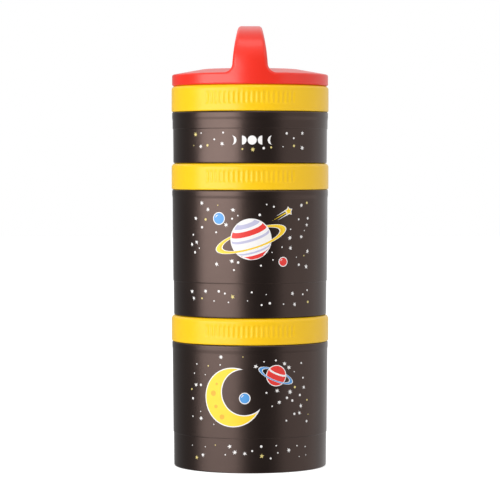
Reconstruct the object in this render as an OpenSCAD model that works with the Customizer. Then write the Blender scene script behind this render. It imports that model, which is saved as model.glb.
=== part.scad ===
// Toddler snack container: three twist-together cups under a lid with a carry loop.
//
// Each yellow screw ring hangs on a swivel under the piece above it. Its hub snaps into
// that piece's base socket, and its bore screws down over the threaded neck of the cup
// below. Turning a ring opens the cup under it, while the printed fronts stay in line.
// The threads need thread_room between neck and bore, and are left plain here.
//
// Millimetres, +Z up. The origin is the centre of the bottom cup's resting edge, and the
// printed front faces -Y.

/* [Stack] */
// Outside height of a tall cup's wall, from its base to its shoulder
tall_h = 62.3; // [48:0.1:90]
// Outside height of the short cup's wall, from its base to its shoulder
short_h = 25.4; // [24:0.1:44]

/* [Screw ring] */
// Outer diameter of the screw rings, the widest part of the stack
ring_d = 78; // [66:0.5:92]
// Visible height of a screw ring
ring_h = 12.9; // [11:0.1:18]
// Wall of a screw ring outside its threaded bore
ring_wall = 2.1; // [1.8:0.1:2.6]
// Radius of a ring's top outer edge
ring_top_round = 2; // [1.2:0.1:2.4]
// Radius of a ring's bottom outer edge
ring_bottom_round = 0.7; // [0.3:0.1:1.2]
// Thickness of the flange that closes the threaded bore at its top
flange_t = 2.6; // [2:0.1:3.4]
// Radial room for the threads, between a neck and its ring's bore
thread_room = 1.5; // [1.1:0.1:1.8]

/* [Swivel] */
// Depth of the base socket that a ring's hub snaps into
socket_depth = 4.4; // [4.2:0.1:4.7]
// Width of the flat seat on a ring's top, under the piece above
seat_w = 1; // [0.7:0.1:1.4]
// Wall of the hub
hub_wall = 1.4; // [1.1:0.1:1.6]
// Running clearance of the swivel, on the radius
swivel_gap = 0.3; // [0.2:0.05:0.4]
// How far the snap bead reaches behind the socket wall
snap_depth = 0.5; // [0.3:0.05:0.6]
// Height of the snap bead
snap_h = 1.3; // [1:0.1:1.5]

/* [Cup] */
// Wall of a cup
cup_wall = 1.8; // [1.4:0.1:2.4]
// Thickness of a cup's floor
floor_t = 2; // [1.5:0.1:3]
// How far a ring stands proud of the cup wall
ring_proud = 0.45; // [0.2:0.05:0.6]
// How far the bead at a cup's shoulder stands back from the ring
shoulder_setback = 0.25; // [0.1:0.05:0.5]
// Height of the bead at a cup's shoulder
shoulder_bead_h = 3; // [2:0.1:4]
// Height over which the bead runs out into the wall
shoulder_taper_h = 1.5; // [0.5:0.1:3]
// Radius of a cup's shoulder edge
shoulder_round = 0.5; // [0.2:0.1:0.8]
// Height of the step line above a cup's base
step_h = 16.8; // [10:0.1:18]
// Depth of the step line
step_depth = 0.25; // [0.1:0.05:0.4]
// Draft of the wall, in degrees
draft = 0.44; // [0.2:0.02:0.6]
// Radius of the base edges of the cups and the lid
base_round = 0.8; // [0.4:0.1:1]
// Radius between a cup's floor and its wall
floor_fillet = 3; // [1:0.5:6]

/* [Neck] */
// Wall of a cup's threaded neck
neck_wall = 1.8; // [1.4:0.1:2.2]
// Wall of the plain rim above the threads
rim_wall = 1.6; // [1.2:0.1:2]
// Gap between a rim and the ceiling of the socket above it
rim_gap = 0.2; // [0.1:0.05:0.4]

/* [Lid] */
// How far the lid's wall stands back from its ring
lid_setback = 0.25; // [0.1:0.05:0.6]
// Height of the lid's wall
lid_wall_h = 5.7; // [5.4:0.1:7.5]
// Rise of the lid's flat crown above its wall
crown_rise = 2.5; // [1.6:0.1:5]
// Radius of the lid's flat crown
crown_r = 23.6; // [18:0.2:28]
// Radius of the bend between the crown and the slope around it
crown_round = 4; // [3:0.5:8]
// Thickness of the lid
lid_t = 2; // [1.4:0.1:2.2]
// Radius of the lid's top edge
lid_edge_round = 1; // [0.5:0.1:1.4]

/* [Carry loop] */
// Height of the loop's crown above the lid's base
loop_h = 29.3; // [25:0.1:44]
// Width of the strap, carried down to the lid's base
loop_foot_w = 17.9; // [14:0.1:24]
// Width of the strap at its crown
loop_crown_w = 11.8; // [8:0.1:14]
// Thickness of the strap
strap_t = 4; // [3.8:0.1:5.5]
// Radius of the strap's long edges
strap_edge = 1.8; // [0.8:0.1:1.8]
// Radius of the fillet where the strap grows out of the lid
loop_fillet = 4; // [2:0.1:5]
// Squareness of the arch: 2 is an ellipse, more is squarer
loop_squareness = 3.3; // [2.4:0.1:4]

/* [Hidden] */

$fn = 128;
CUP_COLOUR = "#3a2f2c";
RING_COLOUR = "#fdd11f";
LID_COLOUR = "#f03a2a";

// Levels of the pieces' bases
lower_ring_z = tall_h;
middle_z = lower_ring_z + ring_h;
middle_ring_z = middle_z + tall_h;
short_z = middle_ring_z + ring_h;
upper_ring_z = short_z + short_h;
lid_z = upper_ring_z + ring_h;

// Radii, from the outside in
ring_r = ring_d / 2;
lid_r = ring_r - lid_setback;
shoulder_r = ring_r - shoulder_setback;
wall_top_r = ring_r - ring_proud;
bore_r = ring_r - ring_wall;
neck_r = bore_r - thread_room;
neck_in_r = neck_r - neck_wall;
socket_r = ring_r - ring_top_round - seat_w;
hub_r = socket_r - swivel_gap;
hub_in_r = hub_r - hub_wall;
rim_r = min(hub_in_r - swivel_gap, neck_r - swivel_gap);
rim_in_r = rim_r - rim_wall;
snap_r = socket_r + snap_depth;
groove_r = snap_r + swivel_gap;

// Heights inside a joint
ledge_gap = 0.4;
hub_h = socket_depth - ledge_gap;
bore_h = ring_h - flange_t;
neck_h = bore_h - ledge_gap;
rim_top_h = ring_h + socket_depth - rim_gap;
snap_z = (socket_depth - snap_h) / 2 + swivel_gap;
groove_play = 0.2;
shoulder_extra = 0.2;
shoulder_t = cup_wall + shoulder_extra;
lead_in = 0.3;
rim_round = 0.4;

// The lid's slope, a cone that runs smoothly into the rounded edge and the crown's bend
lid_edge_r = lid_r - lid_edge_round;
lid_edge_z = lid_wall_h - lid_edge_round;
bend_z = lid_wall_h + crown_rise - crown_round;
edge_from_bend = [lid_edge_r - crown_r, lid_edge_z - bend_z];
lid_slope = atan2(edge_from_bend[0], edge_from_bend[1])
    - acos((crown_round - lid_edge_round) / norm(edge_from_bend));
landing_w = 1;
landing_r = rim_in_r - landing_w;

// The loop's strap, an arch of half span loop_a and rise loop_b
loop_flush = 0.02;
loop_sink = 0.06;
loop_root = 1;
loop_a = lid_r - loop_flush;
loop_b = loop_h - lid_wall_h;
loop_taper = (loop_foot_w - loop_crown_w) / 2;
loop_side_r = (loop_h ^ 2 + loop_taper ^ 2) / (2 * loop_taper);
arch_start = 1.15 * loop_fillet;
arch_steps = 18;
face_steps = 6;

// How far a cut runs out past the surface
cut_past = 1;
// How far a flat facet may stray from its arc
facet_error = 0.02;

// Steps that keep an arc's facets within facet_error
function arc_steps(r, turn) = ceil(abs(turn) / (2 * acos(1 - facet_error / r)));

// Points along an arc about [x, z], between two angles
function arc(x, z, r, from, to) = let (steps = arc_steps(r, to - from)) [
    for (i = [0:steps])
        let (a = from + (to - from) * i / steps)
            [x + r * cos(a), z + r * sin(a)]
];

// A tall or short cup's outer radius at a height, with its draft
function wall_r(z, body_h) =
    wall_top_r - (body_h - shoulder_bead_h - shoulder_taper_h - z) * tan(draft);

// The groove in a base socket that holds the snap bead, from the socket's mouth upwards
function groove_points() = [
    [socket_r, snap_z - groove_play],
    [groove_r, snap_z + snap_depth - groove_play],
    [groove_r, snap_z + snap_h - snap_depth + groove_play],
    [socket_r, snap_z + snap_h + groove_play]
];

// ---- Cups ----

function cup_outside(body_h) = let (base_r = wall_r(0, body_h) - step_depth) concat(
    arc(base_r - base_round, base_round, base_round, -90, 0),
    [
        [wall_r(step_h, body_h) - step_depth, step_h - step_depth],
        [wall_r(step_h, body_h), step_h],
        [wall_top_r, body_h - shoulder_bead_h - shoulder_taper_h],
        [shoulder_r, body_h - shoulder_bead_h]
    ],
    arc(shoulder_r - shoulder_round, body_h - shoulder_round, shoulder_round, 0, 90)
);

function neck_outside(body_h) = concat(
    [
        [neck_r, body_h],
        [neck_r, body_h + neck_h - lead_in],
        [neck_r - lead_in, body_h + neck_h],
        [rim_r, body_h + neck_h]
    ],
    arc(rim_r - rim_round, body_h + rim_top_h - rim_round, rim_round, 0, 90),
    arc(rim_in_r + rim_round, body_h + rim_top_h - rim_round, rim_round, 90, 180)
);

function cup_inside(body_h) = let (
    ledge_z = body_h + neck_h - rim_wall,
    roof_z = body_h - shoulder_t,
    top_r = wall_top_r - cup_wall,
    floor_z = socket_depth + floor_t,
    floor_r = wall_r(floor_z, body_h) - step_depth - cup_wall
) concat(
    [
        [rim_in_r, ledge_z],
        [neck_in_r, ledge_z - (neck_in_r - rim_in_r)],
        [neck_in_r, roof_z],
        [top_r, roof_z - (top_r - neck_in_r)]
    ],
    arc(floor_r - floor_fillet, floor_z + floor_fillet, floor_fillet, 0, -90),
    [[0, floor_z]]
);

// A cup, standing on its base at the origin
module cup(body_h) {
    color(CUP_COLOUR)
        rotate_extrude()
            polygon(concat(
                [[socket_r + lead_in, 0]],
                cup_outside(body_h),
                neck_outside(body_h),
                cup_inside(body_h),
                [[0, socket_depth], [socket_r, socket_depth]],
                [for (i = [3:-1:0]) groove_points()[i]],
                [[socket_r, lead_in]]
            ));
}

module bottom_cup() {
    cup(tall_h);
}

module middle_cup() {
    translate([0, 0, middle_z])
        cup(tall_h);
}

module short_cup() {
    translate([0, 0, short_z])
        cup(short_h);
}

// ---- Screw rings ----

// The hub with its snap bead, from the ring's top upwards
function hub_points() = [
    [hub_r, ring_h],
    [hub_r, ring_h + snap_z - swivel_gap],
    [snap_r, ring_h + snap_z + snap_depth],
    [snap_r, ring_h + snap_z + snap_h - snap_depth],
    [hub_r - lead_in, ring_h + hub_h],
    [hub_in_r, ring_h + hub_h]
];

// A screw ring, with its bottom face at the origin
module screw_ring() {
    color(RING_COLOUR)
        rotate_extrude()
            polygon(concat(
                [[bore_r + lead_in, 0]],
                arc(ring_r - ring_bottom_round, ring_bottom_round, ring_bottom_round, -90, 0),
                arc(ring_r - ring_top_round, ring_h - ring_top_round, ring_top_round, 0, 90),
                hub_points(),
                [
                    [hub_in_r, bore_h],
                    [bore_r, bore_h],
                    [bore_r, lead_in]
                ]
            ));
}

module lower_screw_ring() {
    translate([0, 0, lower_ring_z])
        screw_ring();
}

module middle_screw_ring() {
    translate([0, 0, middle_ring_z])
        screw_ring();
}

module upper_screw_ring() {
    translate([0, 0, upper_ring_z])
        screw_ring();
}

// ---- Lid and carry loop ----

// Height of the slope at a radius, at a depth below the lid's outer face
function slope_z(r, depth = 0) =
    bend_z + (crown_round - depth) / cos(lid_slope) - (r - crown_r) * tan(lid_slope);

// The lid's raised block, closed underneath
module lid_block() {
    rotate_extrude()
        polygon(concat(
            [[0, 0]],
            arc(lid_r - base_round, base_round, base_round, -90, 0),
            arc(lid_edge_r, lid_edge_z, lid_edge_round, 0, 90 - lid_slope),
            arc(crown_r, bend_z, crown_round, 90 - lid_slope, 90),
            [[0, bend_z + crown_round]]
        ));
}

// The space under the lid: the base socket, the rim's landing and the hollow crown
module lid_hollow() {
    inner_round = crown_round - lid_t;
    rotate_extrude()
        polygon(concat(
            [[0, -cut_past], [socket_r + lead_in + cut_past, -cut_past], [socket_r, lead_in]],
            groove_points(),
            [
                [socket_r, socket_depth],
                [landing_r, socket_depth],
                [landing_r, slope_z(landing_r, lid_t)]
            ],
            arc(crown_r, bend_z, inner_round, 90 - lid_slope, 90),
            [[0, bend_z + inner_round]]
        ));
}

// Height of the lid's outer face at a distance from its axis
function lid_face_z(r) =
    r < crown_r + crown_round * sin(lid_slope)
        ? bend_z + sqrt(crown_round ^ 2 - max(0, r - crown_r) ^ 2)
        : r < lid_edge_r + lid_edge_round * sin(lid_slope)
            ? slope_z(r)
            : lid_edge_z + sqrt(lid_edge_round ^ 2 - (r - lid_edge_r) ^ 2);

// Half the strap's width at a height above the lid's base
function strap_half_w(z) =
    loop_foot_w / 2 - loop_side_r + sqrt(loop_side_r ^ 2 - z ^ 2);

// How far out the arch is at a height above its springing
function arch_y(h) =
    loop_a * (1 - (max(0, h) / loop_b) ^ loop_squareness) ^ (1 / loop_squareness);

// The stations of the fillet at the front foot: [y, height above springing, flare]
function foot_stations() = let (steps = arc_steps(loop_fillet, 90)) concat(
    [[loop_a, -loop_root, loop_fillet]],
    [
        for (i = [0:steps])
            let (a = 90 * i / steps, h = loop_fillet * (1 - cos(a)) - loop_sink)
                [arch_y(h), h, loop_fillet * (1 - sin(a))]
    ]
);

// The stations of the front half of the arch, up to its crown
function arch_stations() = let (first = asin((arch_start / loop_b) ^ (loop_squareness / 2))) [
    for (i = [0:arch_steps])
        let (a = first + (90 - first) * i / arch_steps)
            [
                loop_a * cos(a) ^ (2 / loop_squareness),
                loop_b * sin(a) ^ (2 / loop_squareness),
                0
            ]
];

// The arch's outward direction [y, z] at a station
function outward(s) =
    s[1] <= 0 ? [1, 0] :
    let (
        y = s[0] ^ (loop_squareness - 1) / loop_a ^ loop_squareness,
        z = s[1] ^ (loop_squareness - 1) / loop_b ^ loop_squareness
    ) [y, z] / norm([y, z]);

// Points across one face of the strap, between its rounded edges
function face_points(flat, depth) = [
    for (i = [1:face_steps - 1]) [flat * (2 * i / face_steps - 1), depth]
];

// The strap's section: [across, depth below its outer face]
function strap_section(half_w, depth) = let (flat = half_w - strap_edge) concat(
    face_points(flat, 0),
    arc(flat, strap_edge, strap_edge, -90, 0),
    arc(flat, depth - strap_edge, strap_edge, 0, 90),
    face_points(-flat, depth),
    arc(-flat, depth - strap_edge, strap_edge, 90, 180),
    arc(-flat, strap_edge, strap_edge, 180, 270)
);

// The strap's points at a station. side is -1 on the front half and 1 on the back half.
// The outer face follows the lid's round wall, and the fillet clings to the lid's slope.
function strap_points(s, side) =
    let (
        n = outward(s),
        cling = min(1, max(0, 1 - s[1] / loop_fillet)),
        section = strap_section(strap_half_w(lid_wall_h + s[1]) + s[2], strap_t + s[2])
    ) [
        for (p = section)
            let (
                sag = loop_a - sqrt(loop_a ^ 2 - p[0] ^ 2),
                y = s[0] - n[0] * (p[1] + sag),
                rise = lid_face_z(norm([p[0], y])) - lid_wall_h
            )
                [-p[0], side * y, lid_wall_h + s[1] - n[1] * p[1] + cling * rise]
    ];

// The strap is lofted through its stations, from the front foot to the back foot
module carry_loop() {
    half = concat(foot_stations(), arch_stations());
    last = len(half) - 1;
    rings = concat(
        [for (i = [0:last]) strap_points(half[i], -1)],
        [for (i = [last - 1:-1:0]) strap_points(half[i], 1)]
    );
    n = len(rings[0]);
    m = len(rings);
    polyhedron(
        points = [for (ring = rings) each ring],
        faces = concat(
            [
                for (j = [0:m - 2]) for (i = [0:n - 1])
                    let (a = j * n + i, b = j * n + (i + 1) % n)
                        each [[a, b, b + n], [a, b + n, a + n]]
            ],
            [[for (i = [n - 1:-1:0]) i]],
            [[for (i = [0:n - 1]) (m - 1) * n + i]]
        )
    );
}

module carry_lid() {
    color(LID_COLOUR)
        translate([0, 0, lid_z])
            difference() {
                union() {
                    lid_block();
                    carry_loop();
                }
                lid_hollow();
            }
}

bottom_cup();
lower_screw_ring();
middle_cup();
middle_screw_ring();
short_cup();
upper_screw_ring();
carry_lid();
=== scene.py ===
"""Looks of a toddler snack container: three screw-together cups under a lid with a carry loop.

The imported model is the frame. Its seven mouldings are dressed here with their fine edges,
threads, grip flutes and printed fronts. The mouldings and prints are measured in millimetres
in the model's own axes, and become metres when a mesh is made.
"""

from __future__ import annotations

import logging
import math
import random
from dataclasses import dataclass, field
from enum import Enum
from typing import Protocol, Sequence

import bmesh
import bpy
from mathutils import Matrix, Vector

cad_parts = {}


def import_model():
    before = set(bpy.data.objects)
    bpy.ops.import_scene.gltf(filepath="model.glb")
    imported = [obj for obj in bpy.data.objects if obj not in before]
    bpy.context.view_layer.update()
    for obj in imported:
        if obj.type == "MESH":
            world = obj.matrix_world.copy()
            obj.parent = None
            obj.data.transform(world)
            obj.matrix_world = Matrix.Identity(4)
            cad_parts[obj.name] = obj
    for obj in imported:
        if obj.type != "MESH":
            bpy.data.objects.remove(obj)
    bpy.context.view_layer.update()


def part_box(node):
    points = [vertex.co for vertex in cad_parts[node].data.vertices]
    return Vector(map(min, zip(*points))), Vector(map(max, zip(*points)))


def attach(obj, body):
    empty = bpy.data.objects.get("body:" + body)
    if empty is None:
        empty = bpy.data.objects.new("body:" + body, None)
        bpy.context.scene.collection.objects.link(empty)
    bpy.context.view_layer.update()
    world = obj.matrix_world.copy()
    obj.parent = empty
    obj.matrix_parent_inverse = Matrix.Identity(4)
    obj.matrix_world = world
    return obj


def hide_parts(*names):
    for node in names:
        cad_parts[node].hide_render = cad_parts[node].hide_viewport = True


LOG = logging.getLogger("snack_container")

MM = 0.001

# In metres: points this close are one, and an edge this short is left over from a union.
SAME_PLACE = 1e-7
LEFT_OVER = 2e-6

Point = tuple[float, float]
Colour = tuple[float, float, float]


# ---- Outlines and meshes ----


def arc(x: float, y: float, r: float, start: float, end: float, steps: int) -> list[Point]:
    """Points along a circular arc.

    Args:
        x: Across coordinate of the centre.
        y: Up coordinate of the centre.
        r: Radius.
        start: Angle of the first point in degrees.
        end: Angle of the last point in degrees.
        steps: How many steps the arc takes.

    Returns:
        The arc's points, both ends included.
    """
    angles = [math.radians(start + (end - start) * i / steps) for i in range(steps + 1)]
    return [(x + r * math.cos(a), y + r * math.sin(a)) for a in angles]


# Distance of a holding point from the end of its stretch, and the longest stretch without
# one. Closer points would pass for one point where a finish paints its edge highlight,
# which is broken up like wear.
HOLD = 0.4
SHORT_STRETCH = 4 * HOLD


def with_holding_points(outline: Sequence[Point]) -> list[Point]:
    """Adds a point close to each end of every long stretch, so that its shading stays flat.

    Args:
        outline: The outline's points. None is added beside one on the axis.

    Returns:
        The outline with the added points.
    """
    held = [outline[0]]
    for (x0, y0), (x1, y1) in zip(outline, outline[1:]):
        length = math.hypot(x1 - x0, y1 - y0)
        if length > SHORT_STRETCH:
            share = HOLD / length
            if x0 > 0:
                held.append((x0 + (x1 - x0) * share, y0 + (y1 - y0) * share))
            if x1 > 0:
                held.append((x1 - (x1 - x0) * share, y1 - (y1 - y0) * share))
        held.append((x1, y1))
    return held


def smooth_step(start: Point, end: Point, steps: int) -> list[Point]:
    """Points of a soft S-shaped run.

    Args:
        start: Its first (radius, height) point.
        end: Its last point.
        steps: How many steps it takes.

    Returns:
        The run's points, both ends included.
    """
    points = []
    for i in range(steps + 1):
        share = i / steps
        ease = share * share * (3 - 2 * share)
        r = start[0] + (end[0] - start[0]) * ease
        points.append((r, start[1] + (end[1] - start[1]) * share))
    return points


@dataclass(frozen=True)
class Sector:
    """A part of a turn, and how many steps it takes."""

    turn: float
    steps: int


FULL_TURN = (Sector(turn=360, steps=192),)


def lathe(
    outline: Sequence[Point], closed: bool, sectors: Sequence[Sector] = FULL_TURN
) -> bmesh.types.BMesh:
    """Spins an outline of radii and heights about the stack's axis.

    Args:
        outline: (radius, height) points in millimetres.
        closed: Whether the last point joins the first.
        sectors: The full turn's sectors. The first one is centred on the front.

    Returns:
        A closed surface with its faces pointing outwards.
    """
    bm = bmesh.new()
    verts = [bm.verts.new((r * MM, 0, z * MM)) for r, z in outline]
    edges = [bm.edges.new(pair) for pair in zip(verts, verts[1:])]
    if closed:
        edges.append(bm.edges.new((verts[-1], verts[0])))
    start = math.radians(-90 - sectors[0].turn / 2)
    bmesh.ops.rotate(bm, verts=verts, cent=(0, 0, 0), matrix=Matrix.Rotation(start, 3, "Z"))
    grown = verts + edges
    for sector in sectors:
        grown = bmesh.ops.spin(
            bm, geom=grown, cent=(0, 0, 0), axis=(0, 0, 1), dvec=(0, 0, 0),
            angle=math.radians(sector.turn), steps=sector.steps,
            use_merge=len(sectors) == 1, use_normal_flip=False, use_duplicate=False,
        )["geom_last"]
    bmesh.ops.remove_doubles(bm, verts=bm.verts, dist=SAME_PLACE)
    face_outwards(bm)
    return bm


def face_outwards(bm: bmesh.types.BMesh) -> None:
    """Turns the faces of a closed mesh of one piece so that they all point outwards.

    Args:
        bm: The mesh.
    """
    bmesh.ops.recalc_face_normals(bm, faces=bm.faces)
    if bm.calc_volume(signed=True) < 0:
        bmesh.ops.reverse_faces(bm, faces=bm.faces)


def join(bm: bmesh.types.BMesh, other: bmesh.types.BMesh) -> None:
    """Adds another mesh's geometry to a mesh.

    Args:
        bm: The mesh that gets it.
        other: The other mesh. It is freed.
    """
    carrier = bpy.data.meshes.new("carrier")
    other.to_mesh(carrier)
    other.free()
    bm.from_mesh(carrier)
    bpy.data.meshes.remove(carrier)


def united(first: bmesh.types.BMesh, second: bmesh.types.BMesh) -> bmesh.types.BMesh:
    """One closed mesh of two that overlap. Both are freed.

    Args:
        first: A closed mesh.
        second: Another one.

    Returns:
        Their union.
    """
    objects = []
    for bm in (first, second):
        mesh = bpy.data.meshes.new("part_of_union")
        bm.to_mesh(mesh)
        bm.free()
        objects.append(bpy.data.objects.new("part_of_union", mesh))
        bpy.context.scene.collection.objects.link(objects[-1])
    union = objects[0].modifiers.new("union", "BOOLEAN")
    union.operation = "UNION"
    union.solver = "EXACT"
    union.object = objects[1]
    depsgraph = bpy.context.evaluated_depsgraph_get()
    bm = bmesh.new()
    bm.from_mesh(objects[0].evaluated_get(depsgraph).to_mesh())
    many_sided = [face for face in bm.faces if len(face.verts) > 4]
    bmesh.ops.triangulate(bm, faces=many_sided)
    bmesh.ops.dissolve_degenerate(bm, dist=LEFT_OVER, edges=bm.edges)
    for made in objects:
        mesh = made.data
        bpy.data.objects.remove(made)
        bpy.data.meshes.remove(mesh)
    return bm


def finish_piece(
    name: str,
    bm: bmesh.types.BMesh,
    materials: Sequence[bpy.types.Material],
    body: str,
    sharp_angle: float = 32,
) -> bpy.types.Object:
    """Makes an object of a mesh, shades it and lets it ride on its body.

    Args:
        name: Name of the piece.
        bm: The mesh in place, in metres. It is freed.
        materials: The piece's materials, in the order of its faces' material numbers.
        body: The CAD body it moves with.
        sharp_angle: Edges that fold more than this, in degrees, stay crisp.

    Returns:
        The new object.
    """
    mesh = bpy.data.meshes.new(name)
    bm.to_mesh(mesh)
    bm.free()
    mesh.polygons.foreach_set("use_smooth", [True] * len(mesh.polygons))
    mesh.set_sharp_from_angle(angle=math.radians(sharp_angle))
    for material in materials:
        mesh.materials.append(material)
    piece = bpy.data.objects.new(name, mesh)
    bpy.context.scene.collection.objects.link(piece)
    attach(piece, body)
    return piece


# ---- Finishes ----


def set_inputs(node: bpy.types.Node, values: dict[str, float | tuple[float, ...]]) -> None:
    """Sets some of a node's inputs, by their names."""
    for name, value in values.items():
        node.inputs[name].default_value = value


def range_node(nodes: bpy.types.Nodes, start: float, end: float) -> bpy.types.Node:
    """A node that turns the values from start to end into those from 0 to 1.

    Args:
        nodes: The nodes that it joins.
        start: The value that becomes 0.
        end: The value that becomes 1.

    Returns:
        The node.
    """
    node = nodes.new("ShaderNodeMapRange")
    set_inputs(node, {"From Min": start, "From Max": end})
    return node


class SurfaceGroups:
    """Shader node groups that more than one finish uses, built once."""

    GRAIN_SCALE = 2600.0
    GRAIN_DETAIL = 3
    MOTTLE_SCALE = 55.0
    MOTTLE_DETAIL = 4
    MOTTLE_ROUGHNESS = 0.6
    # Pointiness range of the lighter edges, a painted highlight, and the scale of the noise that
    # breaks it up like wear.
    EDGE_HIGHLIGHT_AND_WEAR = (0.505, 0.56)
    EDGE_BREAK_SCALE = 420
    SMUDGE_SCALE = 30.0
    SMUDGE_DETAIL = 5
    SMUDGE_DISTORTION = 0.8
    SMUDGE_SPREAD = (0.38, 0.68)

    @staticmethod
    def _new(name: str, inputs: dict[str, float], outputs: Sequence[str]) -> bpy.types.NodeTree:
        """Starts a group that reads a vector and some values, and puts out values.

        Args:
            name: The group's name.
            inputs: The values that it reads, with their defaults.
            outputs: The values that it puts out.

        Returns:
            The group, with its sockets and no nodes yet.
        """
        group = bpy.data.node_groups.new(name, "ShaderNodeTree")
        group.interface.new_socket("Vector", in_out="INPUT", socket_type="NodeSocketVector")
        for socket, value in inputs.items():
            made = group.interface.new_socket(
                socket, in_out="INPUT", socket_type="NodeSocketFloat"
            )
            made.default_value = value
        for socket in outputs:
            group.interface.new_socket(
                socket, in_out="OUTPUT", socket_type="NodeSocketFloat"
            )
        return group

    @classmethod
    def moulded_grain(cls) -> bpy.types.NodeTree:
        """The fine grain and slow mottle of a moulded plastic skin.

        Returns:
            The group. It puts out the grain's height and the mottle.
        """
        name = "moulded_grain"
        if name in bpy.data.node_groups:
            return bpy.data.node_groups[name]
        scales = {"Grain Scale": cls.GRAIN_SCALE, "Mottle Scale": cls.MOTTLE_SCALE}
        group = cls._new(name, scales, ("Height", "Mottle"))
        nodes, links = group.nodes, group.links
        source = nodes.new("NodeGroupInput")
        out = nodes.new("NodeGroupOutput")
        grain = nodes.new("ShaderNodeTexNoise")
        set_inputs(grain, {"Detail": cls.GRAIN_DETAIL})
        mottle = nodes.new("ShaderNodeTexNoise")
        set_inputs(mottle, {"Detail": cls.MOTTLE_DETAIL, "Roughness": cls.MOTTLE_ROUGHNESS})
        for node, scale in ((grain, "Grain Scale"), (mottle, "Mottle Scale")):
            links.new(source.outputs["Vector"], node.inputs["Vector"])
            links.new(source.outputs[scale], node.inputs["Scale"])
        links.new(grain.outputs["Fac"], out.inputs["Height"])
        links.new(mottle.outputs["Fac"], out.inputs["Mottle"])
        return group

    @classmethod
    def handling_wear(cls) -> bpy.types.NodeTree:
        """Lighter convex edges, a painted highlight broken up like wear, and smudges over the
        faces.

        Returns:
            The group. It puts out a mask of the painted edge highlight and one of the smudges.
        """
        name = "handling_wear"
        if name in bpy.data.node_groups:
            return bpy.data.node_groups[name]
        group = cls._new(name, {"Smudge Scale": cls.SMUDGE_SCALE}, ("Edge", "Smudge"))
        nodes, links = group.nodes, group.links
        source = nodes.new("NodeGroupInput")
        out = nodes.new("NodeGroupOutput")
        geometry = nodes.new("ShaderNodeNewGeometry")
        # Convex edges, picked out by pointiness, get a painted highlight broken up by noise like
        # wear.
        edge = range_node(nodes, *cls.EDGE_HIGHLIGHT_AND_WEAR)
        broken = nodes.new("ShaderNodeTexNoise")
        set_inputs(broken, {"Scale": cls.EDGE_BREAK_SCALE})
        highlit_worn_edge = nodes.new("ShaderNodeMath")
        highlit_worn_edge.operation = "MULTIPLY"
        smudge = nodes.new("ShaderNodeTexNoise")
        set_inputs(smudge, {"Detail": cls.SMUDGE_DETAIL, "Distortion": cls.SMUDGE_DISTORTION})
        spread = range_node(nodes, *cls.SMUDGE_SPREAD)
        links.new(geometry.outputs["Pointiness"], edge.inputs["Value"])
        links.new(source.outputs["Vector"], broken.inputs["Vector"])
        links.new(source.outputs["Vector"], smudge.inputs["Vector"])
        links.new(source.outputs["Smudge Scale"], smudge.inputs["Scale"])
        links.new(edge.outputs["Result"], highlit_worn_edge.inputs[0])
        links.new(broken.outputs["Fac"], highlit_worn_edge.inputs[1])
        links.new(highlit_worn_edge.outputs["Value"], out.inputs["Edge"])
        links.new(smudge.outputs["Fac"], spread.inputs["Value"])
        links.new(spread.outputs["Result"], out.inputs["Smudge"])
        return group


class MixSockets:
    """The sockets that a new Mix node uses for its kind of data, by name."""

    def __init__(self, nodes: bpy.types.Nodes, data_type: str) -> None:
        """Makes the node.

        Args:
            nodes: The nodes that it joins.
            data_type: What it mixes, "RGBA" or "FLOAT".
        """
        node = nodes.new("ShaderNodeMix")
        node.data_type = data_type
        self.inputs = {s.name: s for s in node.inputs if s.enabled}
        self.outputs = {s.name: s for s in node.outputs if s.enabled}


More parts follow.
